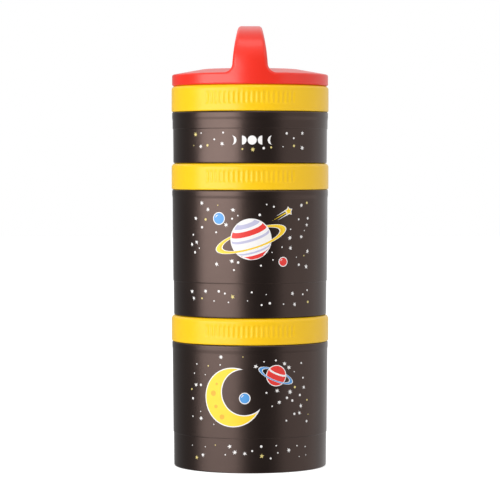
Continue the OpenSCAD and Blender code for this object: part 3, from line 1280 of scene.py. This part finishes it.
@dataclass
class PrintedFront:
    """Ink on a cup's front. Shapes are drawn flat, then laid round the wall.

    Shapes are in millimetres: u is along the wall from the middle of the front, and v is up
    from the cup's base. Later layers lie on earlier ones.
    """

    cup: Cup
    lift: float = 0.02
    layer_t: float = 0.014
    cut_w: float = 1.6
    cut_slack: float = 0.005
    disc_sides: tuple[int, int] = (8, 64)
    sides_per_mm: float = 10
    sides_extra: float = 6
    badge_line: float = 0.4
    shine_r: float = 0.66
    shine_w: float = 0.16
    shine_ends: tuple[float, float] = (105, 165)
    stroke_steps: int = 10
    stroke_blunt: float = 0.08
    heart_share: float = 0.42
    _bm: bmesh.types.BMesh = field(default_factory=bmesh.new)

    def shape(self, outline: Sequence[Point], ink: Ink, layer: int = 0) -> None:
        """Adds a filled outline.

        Args:
            outline: Its (u, v) points.
            ink: The ink that fills it.
            layer: How many layers it lies above the wall.
        """
        bm = bmesh.new()
        low = self.lift + layer * self.layer_t
        bm.faces.new([bm.verts.new((u, v, low)) for u, v in outline])
        left, right = min(u for u, _ in outline), max(u for u, _ in outline)
        cuts = math.ceil((right - left) / self.cut_w)
        for i in range(1, cuts):
            bmesh.ops.bisect_plane(
                bm, geom=bm.verts[:] + bm.edges[:] + bm.faces[:], dist=self.cut_slack,
                plane_co=(left + (right - left) * i / cuts, 0, 0), plane_no=(1, 0, 0),
            )
        raised = bmesh.ops.extrude_face_region(bm, geom=bm.faces[:])["geom"]
        tops = [v for v in raised if isinstance(v, bmesh.types.BMVert)]
        bmesh.ops.translate(bm, verts=tops, vec=(0, 0, self.layer_t))
        face_outwards(bm)
        for face in bm.faces:
            face.material_index = ink.number
        join(self._bm, bm)

    def disc(self, u: float, v: float, r: float, ink: Ink, layer: int = 0) -> None:
        """Adds a round spot, with as many sides as its size needs.

        Args:
            u: Across coordinate of its middle.
            v: Up coordinate of its middle.
            r: Its radius.
            ink: The ink that fills it.
            layer: How many layers it lies above the wall.
        """
        fewest, most = self.disc_sides
        sides = max(fewest, min(most, round(self.sides_per_mm * r + self.sides_extra)))
        self.shape(arc(u, v, r, 0, 360 - 360 / sides, sides - 1), ink, layer)

    def badge(self, u: float, v: float, r: float, ink: Ink) -> None:
        """Adds a small planet: a spot with a white outline and a stroke of shine.

        Args:
            u: Across coordinate of its middle.
            v: Up coordinate of its middle.
            r: Its radius, without the outline.
            ink: The ink that fills it.
        """
        self.disc(u, v, r + self.badge_line, Ink.WHITE, 0)
        self.disc(u, v, r, ink, 1)
        self.stroke(u, v, self.shine_r * r, self.shine_w * r, self.shine_ends, Ink.WHITE, 2)

    def stroke(
        self, u: float, v: float, r: float, w: float, ends: tuple[float, float],
        ink: Ink, layer: int,
    ) -> None:
        """Adds a curved stroke that thins out towards its ends.

        Args:
            u: Across coordinate of the curve's centre.
            v: Up coordinate of the curve's centre.
            r: Radius of the curve.
            w: Greatest width of the stroke.
            ends: Angles of its ends in degrees.
            ink: The ink that fills it.
            layer: How many layers it lies above the wall.
        """
        outer, inner = [], []
        for i in range(self.stroke_steps + 1):
            share = i / self.stroke_steps
            a = math.radians(ends[0] + (ends[1] - ends[0]) * share)
            swell = self.stroke_blunt + (1 - 2 * self.stroke_blunt) * share
            half = w / 2 * math.sin(math.pi * swell)
            outer.append((u + (r + half) * math.cos(a), v + (r + half) * math.sin(a)))
            inner.append((u + (r - half) * math.cos(a), v + (r - half) * math.sin(a)))
        self.shape(outer + inner[::-1], ink, layer)

    def burst(self, u: float, v: float, reaches: Sequence[float], turn: float, ink: Ink) -> None:
        """Adds a little star: thin arms about a small heart.

        Args:
            u: Across coordinate of its middle.
            v: Up coordinate of its middle.
            reaches: How far each arm reaches.
            turn: Angle of the first arm in degrees.
            ink: The ink that fills it.
        """
        points = []
        heart = self.heart_share * sum(reaches) / len(reaches)
        for i in range(2 * len(reaches)):
            a = math.radians(turn + 180 * i / len(reaches))
            reach = reaches[i // 2] if i % 2 == 0 else heart
            points.append((u + reach * math.cos(a), v + reach * math.sin(a)))
        self.shape(points, ink)

    def build(self, body: str) -> bpy.types.Object:
        """Lays the print round the wall.

        Args:
            body: The CAD body of the cup.

        Returns:
            The print's object.
        """
        base_z = base_height(self.cup.node)
        for vert in self._bm.verts:
            u, v, lift = vert.co
            r = self.cup.print_r(v)
            a = u / r
            reach = (r + lift) * MM
            vert.co = (reach * math.sin(a), -reach * math.cos(a), (base_z + v) * MM)
        inks = [ink.material() for ink in Ink]
        return finish_piece(
            f"{self.cup.node}_print", self._bm, inks, body, sharp_angle=25
        )


class Picture(Protocol):
    """What the printed pictures have in common."""

    def draw(self, front: PrintedFront) -> None:
        """Adds the picture to a front."""

    def covers(self, u: float, v: float) -> bool:
        """Whether a place lies on the picture, or too near it for a star."""


@dataclass(frozen=True)
class StarField:
    """A scatter of dots and little stars over part of a front."""

    half_w: float
    low: float
    high: float
    count: int
    seed: int
    apart: float = 3.0
    burst_share: float = 0.30
    cream_share: float = 0.16
    tries: int = 4000
    arm_reach: tuple[float, float] = (0.9, 1.4)
    arm_counts: tuple[int, ...] = (5, 6, 7)
    dot_sizes: tuple[float, ...] = (0.28, 0.36, 0.48, 0.62)

    def scatter(self, front: PrintedFront, pictures: Sequence[Picture]) -> None:
        """Adds the stars to a front, clear of its pictures.

        Args:
            front: The front that gets them.
            pictures: Its pictures.
        """
        rng = random.Random(self.seed)
        placed: list[Point] = []
        for _ in range(self.tries):
            if len(placed) == self.count:
                break
            u = rng.uniform(-self.half_w, self.half_w)
            v = rng.uniform(self.low, self.high)
            crowded = any(math.hypot(u - a, v - b) < self.apart for a, b in placed)
            if crowded or any(picture.covers(u, v) for picture in pictures):
                continue
            placed.append((u, v))
            ink = Ink.CREAM if rng.random() < self.cream_share else Ink.WHITE
            if rng.random() < self.burst_share:
                arms = rng.choice(self.arm_counts)
                reaches = [rng.uniform(*self.arm_reach) for _ in range(arms)]
                front.burst(u, v, reaches, rng.uniform(0, 90), ink)
            else:
                front.disc(u, v, rng.choice(self.dot_sizes), ink)


def turned(points: Sequence[Point], angle: float, u: float, v: float) -> list[Point]:
    """Turns points about the origin by an angle in degrees, then moves them."""
    c, s = math.cos(math.radians(angle)), math.sin(math.radians(angle))
    return [(u + x * c - y * s, v + x * s + y * c) for x, y in points]


@dataclass(frozen=True)
class Band:
    """A planet's coloured band between two latitudes, as shares of its radius."""

    low: float
    high: float
    ink: Ink


@dataclass(frozen=True)
class RingedPlanet:
    """A banded planet with a tilted ring."""

    u: float
    v: float
    r: float
    ring_reach: float
    ring_flat: float
    ring_w: float
    tilt: float
    body_ink: Ink
    ring_ink: Ink
    bands: tuple[Band, ...] = ()
    inner_ring_ink: Ink | None = None
    inner_ring_place: float = 0.62
    inner_ring_w: float = 0.5
    line: float = 0.45
    bulge: float = 0.22
    clear: float = 2.0
    ring_steps: int = 32
    band_steps: int = 16

    def _half_ring(self, start: float, reach: float, width: float) -> list[Point]:
        """Half of a ring's outline.

        Args:
            start: Where the half begins: 0 for the back half, 180 for the front one.
            reach: The ring's outer reach.
            width: Its width.

        Returns:
            The outline's points.
        """
        circle = arc(0, 0, 1, start, start + 180, self.ring_steps)
        points = [(x * reach, y * reach * self.ring_flat) for x, y in circle]
        inner = reach - width
        points += [(x * inner, y * inner * self.ring_flat) for x, y in reversed(circle)]
        return turned(points, self.tilt, self.u, self.v)

    def _band(self, band: Band) -> list[Point]:
        """A band's outline: two curved latitudes, joined along the planet's limb.

        Args:
            band: The band.

        Returns:
            The outline's points.
        """
        points: list[Point] = []
        for height, across in ((band.low, (180, 0)), (band.high, (0, 180))):
            w = math.sqrt(1 - height ** 2)
            for x, y in arc(0, 0, w, *across, self.band_steps):
                points.append((x * self.r, (height - self.bulge * y) * self.r))
        return turned(points, self.tilt, self.u, self.v)

    def draw(self, front: PrintedFront) -> None:
        """Adds the planet to a front, with its body between the two halves of its ring.

        Args:
            front: The front that gets it.
        """
        self._draw_half_ring(front, 0, 0)
        front.disc(self.u, self.v, self.r + self.line, Ink.WHITE, 2)
        front.disc(self.u, self.v, self.r, self.body_ink, 3)
        for band in self.bands:
            front.shape(self._band(band), band.ink, 4)
        self._draw_half_ring(front, 180, 5)

    def _draw_half_ring(self, front: PrintedFront, start: float, layer: int) -> None:
        """Adds half of the ring to a front, with its white outline.

        Args:
            front: The front that gets it.
            start: Where the half begins.
            layer: The outline's layer. The inks lie above it.
        """
        reach, w = self.ring_reach, self.ring_w
        outline = self._half_ring(start, reach + self.line, w + 2 * self.line)
        front.shape(outline, Ink.WHITE, layer)
        front.shape(self._half_ring(start, reach, w), self.ring_ink, layer + 1)
        if self.inner_ring_ink:
            inner_reach = reach - self.inner_ring_place * w
            inner = self._half_ring(start, inner_reach, self.inner_ring_w)
            front.shape(inner, self.inner_ring_ink, layer + 2)

    def covers(self, u: float, v: float) -> bool:
        """Whether a place lies on the planet or its ring, or too near them for a star.

        Args:
            u: Across coordinate of the place.
            v: Up coordinate of the place.

        Returns:
            True where it does.
        """
        x, y = turned([(u - self.u, v - self.v)], -self.tilt, 0, 0)[0]
        reach = self.ring_reach + self.clear
        flat = self.ring_reach * self.ring_flat + self.clear
        return math.hypot(x, y) < self.r + self.clear or (x / reach) ** 2 + (y / flat) ** 2 < 1


@dataclass(frozen=True)
class Crescent:
    """A crescent moon with craters and a pale edge line."""

    u: float
    v: float
    r: float
    turn: float
    bite_r: float
    bite_shift: float
    craters: tuple[tuple[float, float, float], ...] = ()
    line: float = 0.5
    clear: float = 2.0
    edge_steps: int = 48
    bite_steps: int = 36

    def _outline(self, grow: float) -> list[Point]:
        """The crescent's outline.

        Args:
            grow: How far outside the crescent it runs.

        Returns:
            Its points.
        """
        r, bite, shift = self.r + grow, self.bite_r - grow, self.bite_shift
        x = (shift ** 2 + r ** 2 - bite ** 2) / (2 * shift)
        tip = math.degrees(math.acos(x / r))
        bite_tip = math.degrees(math.acos((x - shift) / bite))
        points = arc(0, 0, r, tip, 360 - tip, self.edge_steps)
        points += arc(shift, 0, bite, 360 - bite_tip, bite_tip, self.bite_steps)[1:-1]
        return turned(points, self.turn, self.u, self.v)

    def draw(self, front: PrintedFront) -> None:
        """Adds the crescent to a front.

        Args:
            front: The front that gets it.
        """
        front.shape(self._outline(self.line), Ink.WHITE, 0)
        front.shape(self._outline(0), Ink.YELLOW, 1)
        for x, y, r in self.craters:
            front.disc(self.u + x, self.v + y, r, Ink.OCHRE, 2)

    def covers(self, u: float, v: float) -> bool:
        """Whether a place lies on the crescent's disc, or too near it for a star."""
        return math.hypot(u - self.u, v - self.v) < self.r + self.clear


@dataclass(frozen=True)
class Streak:
    """A streak behind a star, as shares of the star's radius and of its tail's length."""

    aside: float
    length: float
    ink: Ink


@dataclass(frozen=True)
class ShootingStar:
    """A five-pointed star with three streaks behind it."""

    u: float
    v: float
    r: float
    heading: float
    tail: float
    streaks: tuple[Streak, ...] = (
        Streak(-0.55, 0.68, Ink.WHITE), Streak(0, 1, Ink.YELLOW), Streak(0.55, 0.68, Ink.WHITE),
    )
    streak_w: float = 0.32
    streak_start: float = 0.5
    arms: int = 5
    notch: float = 0.5
    line: float = 0.5
    clear_behind: float = 1.5
    clear_ahead: float = 2.0
    clear_beside: float = 1.8

    def draw(self, front: PrintedFront) -> None:
        """Adds the star to a front, over its streaks.

        Args:
            front: The front that gets it.
        """
        for streak in self.streaks:
            points = [
                (-self.streak_start * self.r, (streak.aside - self.streak_w / 2) * self.r),
                (-self.streak_start * self.r, (streak.aside + self.streak_w / 2) * self.r),
                (-self.r - streak.length * self.tail, streak.aside * self.r),
            ]
            front.shape(turned(points, self.heading, self.u, self.v), streak.ink, 0)
        for grow, ink, layer in ((self.line, Ink.WHITE, 1), (0, Ink.YELLOW, 2)):
            star = []
            for i in range(2 * self.arms):
                reach = (self.r if i % 2 == 0 else self.notch * self.r) + grow
                a = math.radians(180 * i / self.arms)
                star.append((reach * math.cos(a), reach * math.sin(a)))
            front.shape(turned(star, self.heading, self.u, self.v), ink, layer)

    def covers(self, u: float, v: float) -> bool:
        """Whether a place lies on the star or its streaks, or too near them for a star.

        Args:
            u: Across coordinate of the place.
            v: Up coordinate of the place.

        Returns:
            True where it does.
        """
        x, y = turned([(u - self.u, v - self.v)], -self.heading, 0, 0)[0]
        behind = -self.r - self.tail - self.clear_behind
        return behind < x < self.r + self.clear_ahead and abs(y) < self.r + self.clear_beside


@dataclass(frozen=True)
class MoonPhases:
    """A row of small moons, from a waxing crescent to a waning one.

    Each phase is how far out the shadow's edge bulges, as a share of the radius. The middle
    moon is full and has none.
    """

    u: float
    v: float
    r: float
    step: float
    phases: tuple[float | None, ...] = (0.45, 0.0, None, 0.0, 0.45)
    edge_steps: int = 16
    clear_beside: float = 1.5
    clear_above: float = 1.3

    @property
    def middle(self) -> int:
        """The full moon's place in the row."""
        return len(self.phases) // 2

    def draw(self, front: PrintedFront) -> None:
        """Adds the row to a front.

        Args:
            front: The front that gets it.
        """
        for place, phase in enumerate(self.phases):
            u = self.u + (place - self.middle) * self.step
            if phase is None:
                front.disc(u, self.v, self.r, Ink.WHITE)
                continue
            edge = arc(0, 0, self.r, -90, 90, self.edge_steps)
            shadow = [(phase * x, y) for x, y in reversed(edge[1:-1])]
            turn = 0 if place < self.middle else 180
            front.shape(turned(edge + shadow, turn, u, self.v), Ink.WHITE)

    def covers(self, u: float, v: float) -> bool:
        """Whether a place lies in the row, or too near it for a star.

        Args:
            u: Across coordinate of the place.
            v: Up coordinate of the place.

        Returns:
            True where it does.
        """
        reach = self.middle * self.step + self.r + self.clear_beside
        return abs(u - self.u) < reach and abs(v - self.v) < self.r + self.clear_above


@dataclass(frozen=True)
class SmallPlanet:
    """A small planet of one ink."""

    u: float
    v: float
    r: float
    ink: Ink
    clear: float = 1.8

    def draw(self, front: PrintedFront) -> None:
        """Adds the planet to a front."""
        front.badge(self.u, self.v, self.r, self.ink)

    def covers(self, u: float, v: float) -> bool:
        """Whether a place lies on the planet, or too near it for a star."""
        return math.hypot(u - self.u, v - self.v) < self.r + self.clear


@dataclass(frozen=True)
class PrintDesign:
    """What a cup's front shows: pictures, and star fields round them."""

    pictures: tuple[Picture, ...]
    skies: tuple[StarField, ...]

    def on(self, cup: Cup) -> PrintedFront:
        """Draws the design.

        Args:
            cup: The cup that it is for.

        Returns:
            The cup's printed front.
        """
        front = PrintedFront(cup)
        for picture in self.pictures:
            picture.draw(front)
        for sky in self.skies:
            sky.scatter(front, self.pictures)
        return front


SHORT_CUP_DESIGN = PrintDesign(
    pictures=(MoonPhases(u=1.0, v=11.2, r=2.2, step=4.9),),
    skies=(StarField(half_w=31, low=6.4, high=15.4, count=18, seed=12, apart=3.6),),
)
MIDDLE_CUP_DESIGN = PrintDesign(
    pictures=(
        RingedPlanet(
            u=0.5, v=38.5, r=9.6, ring_reach=18.0, ring_flat=0.27, ring_w=2.9, tilt=17,
            body_ink=Ink.WHITE, ring_ink=Ink.YELLOW, inner_ring_ink=Ink.OCHRE,
            bands=(
                Band(-0.93, -0.66, Ink.RED),
                Band(-0.54, -0.44, Ink.LILAC),
                Band(0.10, 0.22, Ink.LILAC),
                Band(0.38, 0.62, Ink.RED),
                Band(0.74, 0.90, Ink.LILAC),
            ),
        ),
        ShootingStar(u=19.5, v=52.0, r=1.9, heading=28, tail=8.0),
        SmallPlanet(u=-15.5, v=48.5, r=2.7, ink=Ink.BLUE),
        SmallPlanet(u=16.5, v=27.5, r=2.0, ink=Ink.RED),
    ),
    skies=(
        StarField(half_w=32, low=23.0, high=56.5, count=42, seed=23),
        StarField(half_w=32, low=6.4, high=13.6, count=20, seed=5),
    ),
)
BOTTOM_CUP_DESIGN = PrintDesign(
    pictures=(
        Crescent(
            u=-8.5, v=37.0, r=14.0, turn=24, bite_r=11.6, bite_shift=6.2,
            craters=(
                (-10.0, 1.8, 1.35), (-8.6, -4.6, 0.9), (-5.4, -9.6, 1.25), (-8.2, 6.4, 0.65),
            ),
        ),
        RingedPlanet(
            u=13.0, v=47.5, r=4.8, ring_reach=9.2, ring_flat=0.30, ring_w=1.5, tilt=-22,
            body_ink=Ink.RED, ring_ink=Ink.BLUE, bands=(Band(0.30, 0.46, Ink.WHITE),),
            line=0.4,
        ),
        SmallPlanet(u=-2.6, v=36.6, r=2.4, ink=Ink.BLUE),
    ),
    skies=(
        StarField(half_w=32, low=23.0, high=57.0, count=40, seed=31),
        StarField(half_w=32, low=6.4, high=13.8, count=20, seed=8),
    ),
)


# ---- Studio ----


@dataclass(frozen=True)
class SoftBox:
    """A large soft lamp that faces the object.

    Azimuth 0 is the camera's side, and positive is to its right. Angles are in degrees and
    lengths in metres.
    """

    name: str
    azimuth: float
    elevation: float
    distance: float
    width: float
    height: float
    power: float

    def place(self, target: Vector) -> None:
        """Puts the lamp in the scene.

        Args:
            target: The point it faces.
        """
        lamp = bpy.data.lights.new(self.name, "AREA")
        lamp.shape = "RECTANGLE"
        lamp.size, lamp.size_y = self.width, self.height
        lamp.energy = self.power
        a, e = math.radians(self.azimuth), math.radians(self.elevation)
        away = Vector((math.sin(a) * math.cos(e), -math.cos(a) * math.cos(e), math.sin(e)))
        box = bpy.data.objects.new(self.name, lamp)
        box.location = target + away * self.distance
        box.rotation_euler = (-away).to_track_quat("-Z", "Y").to_euler()
        bpy.context.scene.collection.objects.link(box)


@dataclass(frozen=True)
class RoomStop:
    """How bright the room is in a reflection, in one direction round the object.

    Azimuth 0 is the camera's side, and positive is to its right, in degrees.
    """

    azimuth: float
    level: float

    @property
    def place(self) -> float:
        """Its place on a ramp that goes once round, from behind to behind."""
        return 0.5 + self.azimuth / 360


@dataclass(frozen=True)
class Studio:
    """The camera, the lamps, the white surroundings and the floor, in metres."""

    camera_distance: float = 1.273
    camera_height: float = 0.1497
    camera_aside: float = -0.00003
    camera_pitch: float = 1.91
    camera_sees: tuple[float, float] = (0.05, 50)
    focal_mm: float = 184.1
    sensor_mm: float = 36
    floor_size: float = 8.0
    floor_glow: float = 0.62
    floor_colour: Colour = (0.9, 0.9, 0.9)
    floor_roughness: float = 0.9
    floor_specular: float = 0.1
    world_strength: float = 0.54
    walls: tuple[RoomStop, ...] = (
        RoomStop(-180, 0.8), RoomStop(-155, 0.3), RoomStop(-85, 0.25), RoomStop(-12, 0.4),
        RoomStop(6, 0.2), RoomStop(108, 0.16), RoomStop(124, 0.85), RoomStop(180, 0.8),
    )
    table: tuple[RoomStop, ...] = (
        RoomStop(-180, 0.8), RoomStop(-155, 0.3), RoomStop(-88, 0.3), RoomStop(-76, 2.2),
        RoomStop(-20, 2.2), RoomStop(-8, 0.25), RoomStop(30, 0.18), RoomStop(52, 0.8),
        RoomStop(180, 0.8),
    )
    table_fade: tuple[float, float] = (0.03, 0.08)
    ceiling_level: float = 1.2
    ceiling_fade: tuple[float, float] = (-0.22, -0.45)
    aim_height: float = 0.11
    lamps: tuple[SoftBox, ...] = (
        SoftBox(
            "key_softbox", azimuth=-47.5, elevation=6.5, distance=1.1,
            width=1.36, height=0.46, power=8.7,
        ),
        SoftBox(
            "fill_card", azimuth=82, elevation=12, distance=1.3,
            width=2.0, height=1.3, power=5.0,
        ),
        SoftBox(
            "top_softbox", azimuth=-6, elevation=62, distance=1.2,
            width=0.9, height=0.6, power=3.0,
        ),
    )

    def build(self) -> None:
        """Builds the whole studio."""
        self._camera()
        self._world()
        self._floor()
        for lamp in self.lamps:
            lamp.place(Vector((0, 0, self.aim_height)))
        bpy.context.scene.view_settings.view_transform = "Standard"

    def _camera(self) -> None:
        """Places the camera where the photograph was taken from."""
        data = bpy.data.cameras.new("product_camera")
        data.sensor_width = self.sensor_mm
        data.lens = self.focal_mm
        data.clip_start, data.clip_end = self.camera_sees
        camera = bpy.data.objects.new("product_camera", data)
        camera.location = (self.camera_aside, -self.camera_distance, self.camera_height)
        camera.rotation_euler = (math.radians(90 - self.camera_pitch), 0, 0)
        bpy.context.scene.collection.objects.link(camera)
        bpy.context.scene.camera = camera

    def _world(self) -> None:
        """A white backdrop to the camera, plain light on the object, and a room to reflect."""
        world = bpy.data.worlds.new("white_studio")
        bpy.context.scene.world = world
        world.use_nodes = True
        nodes, links = world.node_tree.nodes, world.node_tree.links
        path = nodes.new("ShaderNodeLightPath")
        reflected = nodes.new("ShaderNodeMath")
        reflected.operation = "MAXIMUM"
        links.new(path.outputs["Is Glossy Ray"], reflected.inputs[0])
        links.new(path.outputs["Is Transmission Ray"], reflected.inputs[1])
        lit = MixSockets(nodes, "FLOAT")
        lit.inputs["A"].default_value = self.world_strength
        links.new(reflected.outputs["Value"], lit.inputs["Factor"])
        links.new(self._room(nodes, links), lit.inputs["B"])
        shown = MixSockets(nodes, "FLOAT")
        shown.inputs["B"].default_value = 1
        links.new(path.outputs["Is Camera Ray"], shown.inputs["Factor"])
        links.new(lit.outputs["Result"], shown.inputs["A"])
        background = nodes["Background"]
        background.inputs["Color"].default_value = (1, 1, 1, 1)
        links.new(shown.outputs["Result"], background.inputs["Strength"])

    def _room(
        self, nodes: bpy.types.Nodes, links: bpy.types.NodeLinks
    ) -> bpy.types.NodeSocket:
        """How bright the room is in a reflection: its walls, its ceiling and its table.

        Args:
            nodes: The world's nodes.
            links: The world's links.

        Returns:
            The socket that gives the brightness.
        """
        geometry = nodes.new("ShaderNodeNewGeometry")
        axes = nodes.new("ShaderNodeSeparateXYZ")
        links.new(geometry.outputs["Incoming"], axes.inputs["Vector"])
        azimuth = nodes.new("ShaderNodeMath")
        azimuth.operation = "ARCTAN2"
        links.new(axes.outputs["X"], azimuth.inputs[0])
        links.new(axes.outputs["Y"], azimuth.inputs[1])
        once_round = range_node(nodes, math.pi, -math.pi)
        links.new(azimuth.outputs["Value"], once_round.inputs["Value"])

        # Incoming points back at the viewer, so the ceiling has a negative height in it.
        table_share = range_node(nodes, *self.table_fade)
        ceiling_share = range_node(nodes, *self.ceiling_fade)
        room = MixSockets(nodes, "FLOAT")
        whole = MixSockets(nodes, "FLOAT")
        whole.inputs["B"].default_value = self.ceiling_level
        for share, mix in ((table_share, room), (ceiling_share, whole)):
            links.new(axes.outputs["Z"], share.inputs["Value"])
            links.new(share.outputs["Result"], mix.inputs["Factor"])
        for stops, side in ((self.walls, "A"), (self.table, "B")):
            band = self._band(nodes, stops)
            links.new(once_round.outputs["Result"], band.inputs["Fac"])
            links.new(band.outputs["Color"], room.inputs[side])
        links.new(room.outputs["Result"], whole.inputs["A"])
        return whole.outputs["Result"]

    @staticmethod
    def _band(nodes: bpy.types.Nodes, stops: Sequence[RoomStop]) -> bpy.types.Node:
        """A node that gives the brightness along one band of the room.

        Args:
            nodes: The nodes that it joins.
            stops: The band's stops, once round the object.

        Returns:
            The node.
        """
        band = nodes.new("ShaderNodeValToRGB")
        elements = band.color_ramp.elements
        for stop in stops[1:-1]:
            elements.new(stop.place)
        for stop, element in zip(stops, elements):
            element.color = (stop.level, stop.level, stop.level, 1)
        return band

    def _floor(self) -> None:
        """A pale floor, lifted to white for the camera, that keeps the object's shadow.

        A reflection looks through it to the room, whose table has its own brightness there.
        """
        bm = bmesh.new()
        bmesh.ops.create_grid(bm, x_segments=1, y_segments=1, size=self.floor_size / 2)
        mesh = bpy.data.meshes.new("studio_floor")
        bm.to_mesh(mesh)
        bm.free()
        material = bpy.data.materials.new("white_floor")
        material.use_nodes = True
        nodes, links = material.node_tree.nodes, material.node_tree.links
        matt = nodes["Principled BSDF"]
        set_inputs(matt, {
            "Base Color": (*self.floor_colour, 1),
            "Roughness": self.floor_roughness,
            "Specular IOR Level": self.floor_specular,
        })
        path = nodes.new("ShaderNodeLightPath")
        lift = nodes.new("ShaderNodeMath")
        lift.operation = "MULTIPLY"
        lift.inputs[1].default_value = self.floor_glow
        glow = nodes.new("ShaderNodeEmission")
        both = nodes.new("ShaderNodeAddShader")
        clear = nodes.new("ShaderNodeBsdfTransparent")
        seen = nodes.new("ShaderNodeMixShader")
        links.new(path.outputs["Is Camera Ray"], lift.inputs[0])
        links.new(lift.outputs["Value"], glow.inputs["Strength"])
        links.new(matt.outputs[0], both.inputs[0])
        links.new(glow.outputs[0], both.inputs[1])
        links.new(path.outputs["Is Glossy Ray"], seen.inputs["Fac"])
        links.new(both.outputs[0], seen.inputs[1])
        links.new(clear.outputs[0], seen.inputs[2])
        links.new(seen.outputs[0], nodes["Material Output"].inputs["Surface"])
        mesh.materials.append(material)
        floor = bpy.data.objects.new("studio_floor", mesh)
        bpy.context.scene.collection.objects.link(floor)


def report(piece: bpy.types.Object) -> None:
    """Logs a piece and how many faces it has."""
    LOG.info("%s: %d faces", piece.name, len(piece.data.polygons))


TALL_WALL_H = 62.3
SHORT_WALL_H = 25.4


def main() -> None:
    """Builds the studio, then each piece on its body."""
    logging.basicConfig(level=logging.INFO, format="%(message)s")
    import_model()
    Studio().build()

    cups = (
        (Cup("bottom_cup", wall_h=TALL_WALL_H), "bottom_cup", BOTTOM_CUP_DESIGN),
        (Cup("middle_cup", wall_h=TALL_WALL_H), "middle_cup", MIDDLE_CUP_DESIGN),
        (Cup("short_cup", wall_h=SHORT_WALL_H), "short_cup", SHORT_CUP_DESIGN),
    )
    for cup, body, design in cups:
        report(cup.build(body))
        report(design.on(cup).build(body))
    rings = (
        ("lower_screw_ring", "lower_ring"),
        ("middle_screw_ring", "middle_ring"),
        ("upper_screw_ring", "upper_ring"),
    )
    for node, body in rings:
        report(ScrewRing(node).build(body))
    report(CarryLid().build("lid"))


if __name__ == "__main__":
    main()
